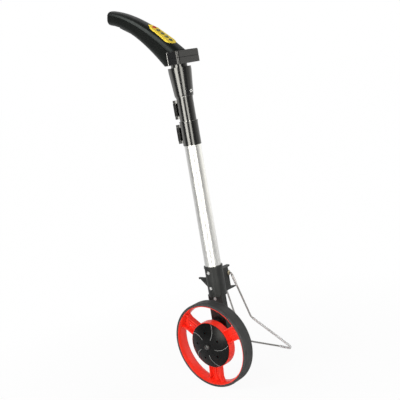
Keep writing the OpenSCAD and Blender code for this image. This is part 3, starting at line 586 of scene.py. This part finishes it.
cameraLook = dict(lens=72.0, sensor=36, clipEnd=100, turn=40.882, lift=9.193, roll=-9.693,
                  centre=(0, 0, 0.330), shiftRight=0.016845, shiftUp=0.017837, reach=1.417733)
turn, lift, roll = (math.radians(cameraLook[k]) for k in ("turn", "lift", "roll"))
toCamera = Vector((math.sin(turn) * math.cos(lift), -math.cos(turn) * math.cos(lift), math.sin(lift)))
levelRight = Vector((math.cos(turn), math.sin(turn), 0))
levelUp = toCamera.cross(levelRight)
imageRight = math.cos(roll) * levelRight + math.sin(roll) * levelUp
imageUp = -math.sin(roll) * levelRight + math.cos(roll) * levelUp
shift = cameraLook["shiftRight"] * imageRight + cameraLook["shiftUp"] * imageUp
aim = Vector(cameraLook["centre"]) + shift
cameraData = bpy.data.cameras.new("photoCamera")
cameraData.lens = cameraLook["lens"]
cameraData.sensor_width = cameraLook["sensor"]
cameraData.clip_end = cameraLook["clipEnd"]
camera = bpy.data.objects.new("photoCamera", cameraData)
scene.collection.objects.link(camera)
stance = Matrix((imageRight, imageUp, toCamera)).transposed().to_4x4()
stance.translation = aim + cameraLook["reach"] * toCamera
camera.matrix_world = stance
scene.camera = camera
levelBack = Vector((-math.sin(turn), math.cos(turn), 0))
glossShare = 0.7


# white for the camera and through glass; gloss sees it behind the part and a dim room on the near side
def whiteShare(tree, spot, look, most):
    path = tree.nodes.new("ShaderNodeLightPath")
    depth = tree.nodes.new("ShaderNodeVectorMath")
    depth.operation = "DOT_PRODUCT"
    depth.inputs[1].default_value = levelBack
    tree.links.new(spot, depth.inputs[0])
    behind = spanOf(tree, depth.outputs["Value"], 0.0, glossShare, *look["behind"])
    share = mathOf(tree, "MULTIPLY", path.outputs["Is Glossy Ray"], behind)
    for ray in ("Is Camera Ray", "Is Transmission Ray"):
        share = mathOf(tree, "MAXIMUM", path.outputs[ray], share)
    return mathOf(tree, "MULTIPLY", share, most)


floorLook = dict(size=60, drop=0.0004, pale=0.86, nearWhite=0.93, farWhite=0.998, near=0.15, far=0.7,
                 behind=(0.0, 1.2))
clearPick()
bpy.ops.mesh.primitive_plane_add(size=floorLook["size"], location=(0, 0, -floorLook["drop"]))
floor = bpy.context.object
floor.name = "floor"
floorFinish = bpy.data.materials.new("paleFloor")
floorFinish.use_nodes = True
tree = floorFinish.node_tree
tree.nodes.clear()
output = tree.nodes.new("ShaderNodeOutputMaterial")
matt = tree.nodes.new("ShaderNodeBsdfDiffuse")
matt.inputs["Color"].default_value = (floorLook["pale"], floorLook["pale"], floorLook["pale"], 1)
glow = tree.nodes.new("ShaderNodeEmission")
glow.inputs["Color"].default_value = (1, 1, 1, 1)
glow.inputs["Strength"].default_value = 1.0
place = tree.nodes.new("ShaderNodeTexCoord")
length = tree.nodes.new("ShaderNodeVectorMath")
length.operation = "LENGTH"
tree.links.new(place.outputs["Object"], length.inputs[0])
paling = spanOf(tree, length.outputs["Value"],
                *(floorLook[part] for part in ("nearWhite", "farWhite", "near", "far")))
blendIn = tree.nodes.new("ShaderNodeMixShader")
tree.links.new(whiteShare(tree, place.outputs["Object"], floorLook, paling), blendIn.inputs["Fac"])
tree.links.new(matt.outputs[0], blendIn.inputs[1])
tree.links.new(glow.outputs[0], blendIn.inputs[2])
tree.links.new(blendIn.outputs[0], output.inputs["Surface"])
floor.data.materials.append(floorFinish)

worldLook = dict(room=0.30, dimRoom=0.16, white=1.0, behind=(0.1, 0.8))
world = bpy.data.worlds.new("studioRoom")
scene.world = world
world.use_nodes = True
tree = world.node_tree
tree.nodes.clear()
output = tree.nodes.new("ShaderNodeOutputWorld")
room = tree.nodes.new("ShaderNodeBackground")
room.inputs["Color"].default_value = (1, 1, 1, 1)
path = tree.nodes.new("ShaderNodeLightPath")
strength = spanOf(tree, path.outputs["Is Glossy Ray"], worldLook["room"], worldLook["dimRoom"], 0, 1)
tree.links.new(strength, room.inputs["Strength"])
backdrop = tree.nodes.new("ShaderNodeBackground")
backdrop.inputs["Color"].default_value = (1, 1, 1, 1)
backdrop.inputs["Strength"].default_value = worldLook["white"]
place = tree.nodes.new("ShaderNodeTexCoord")
blendIn = tree.nodes.new("ShaderNodeMixShader")
tree.links.new(whiteShare(tree, place.outputs["Generated"], worldLook, 1.0), blendIn.inputs["Fac"])
tree.links.new(room.outputs[0], blendIn.inputs[1])
tree.links.new(backdrop.outputs[0], blendIn.inputs[2])
tree.links.new(blendIn.outputs[0], output.inputs["Surface"])

# lamps by their bearing from the camera (to the right is positive), distance, foot and top height;
# without shine a lamp shows only as a highlight, without sheen it only lights
leftSheet = dict(bearing=-39, away=1.6, foot=0.02, top=0.95, width=0.85, shine=False)
rightSheet = dict(bearing=15, away=1.6, foot=0.02, top=0.95, width=0.64, shine=False)
glintSheet = dict(away=1.6, foot=-0.1, top=1.0, width=1.4, glow=1.25, shine=False, onto="metal")
lampLooks = {
    "leftBox": dict(bearing=-39, away=1.5, foot=0.02, top=0.95, width=0.44, glow=7.4, sheen=False),
    "rightBox": dict(bearing=16, away=1.5, foot=0.02, top=0.95, width=0.36, glow=7.4, sheen=False),
    "sideBox": dict(bearing=98, away=1.4, foot=0.1, top=1.1, width=0.8, glow=2.4, sheen=False),
    "leftSheen": dict(leftSheet, glow=14, onto="turned"),
    "rightSheen": dict(rightSheet, glow=10, onto="turned"),
    "leftSoft": dict(leftSheet, glow=6, onto="moulded"),
    "rightSoft": dict(rightSheet, glow=6, onto="moulded"),
    "sideSheen": dict(bearing=107, away=1.4, foot=0.0, top=1.1, width=2.6, glow=0.56, shine=False),
    "rimSheen": dict(bearing=-147, away=1.5, foot=0.25, top=0.9, width=1.0, glow=8, shine=False,
                     onto="housing"),
    "edgeSheen": dict(bearing=-112, away=1.5, foot=0.0, top=0.9, width=1.3, glow=1.1, shine=False,
                      onto="turned"),
    "leftGlint": dict(glintSheet, bearing=-37),
    "rightGlint": dict(glintSheet, bearing=8),
}
# which highlights fall on which finishes: bright stripes on the turned collars, less on flat mouldings,
# and the lamp behind the part only on the display box
sheenOf = {"aluminium": "metal", "steel": "metal", "wireChrome": "metal", "brass": "metal",
           "blackPlastic": "turned", "collarPlastic": "turned", "boxPlastic": "housing"}
takers = {name: bpy.data.collections.new(name) for name in ("moulded", "metal", "turned", "housing")}
for piece in [thing for thing in scene.objects if thing.type == "MESH"]:
    finishName = piece.data.materials[0].name if piece.data.materials else ""
    group = sheenOf.get(finishName, "moulded")
    takers[group].objects.link(piece)
    if group == "housing":
        takers["moulded"].objects.link(piece)
warmTint = (1.0, 0.98, 0.90)
for lampName, look in lampLooks.items():
    angle = turn - math.pi / 2 + math.radians(look["bearing"])
    tall = look["top"] - look["foot"]
    lampData = bpy.data.lights.new(lampName, "AREA")
    lampData.shape = "RECTANGLE"
    lampData.size, lampData.size_y = look["width"], tall
    lampData.energy = look["glow"] * math.pi * look["width"] * tall
    lamp = bpy.data.objects.new(lampName, lampData)
    scene.collection.objects.link(lamp)
    middle = (look["top"] + look["foot"]) / 2
    lamp.location = (look["away"] * math.cos(angle), look["away"] * math.sin(angle), middle)
    lamp.rotation_euler = (math.pi / 2, 0, angle + math.pi / 2)
    lamp.visible_diffuse = look.get("shine", True)
    lamp.visible_glossy = look.get("sheen", True)
    lamp.visible_camera = False
    if "onto" in look:
        lamp.light_linking.receiver_collection = takers[look["onto"]]
    if not lamp.visible_diffuse:
        lampData.color = warmTint
topLook = dict(place=(-0.4, -0.8, 1.6), aim=(0, 0, 0.4), size=0.7, glow=6)
lampData = bpy.data.lights.new("topBox", "AREA")
lampData.shape = "SQUARE"
lampData.size = topLook["size"]
lampData.energy = topLook["glow"] * math.pi * topLook["size"] ** 2
lamp = bpy.data.objects.new("topBox", lampData)
scene.collection.objects.link(lamp)
lamp.visible_camera = False
lamp.location = topLook["place"]
lamp.rotation_mode = "QUATERNION"
downward = Vector(topLook["aim"]) - Vector(topLook["place"])
lamp.rotation_quaternion = downward.to_track_quat("-Z", "Y")
scene.view_settings.view_transform = "Standard"
print("camera, floor and lamps placed")
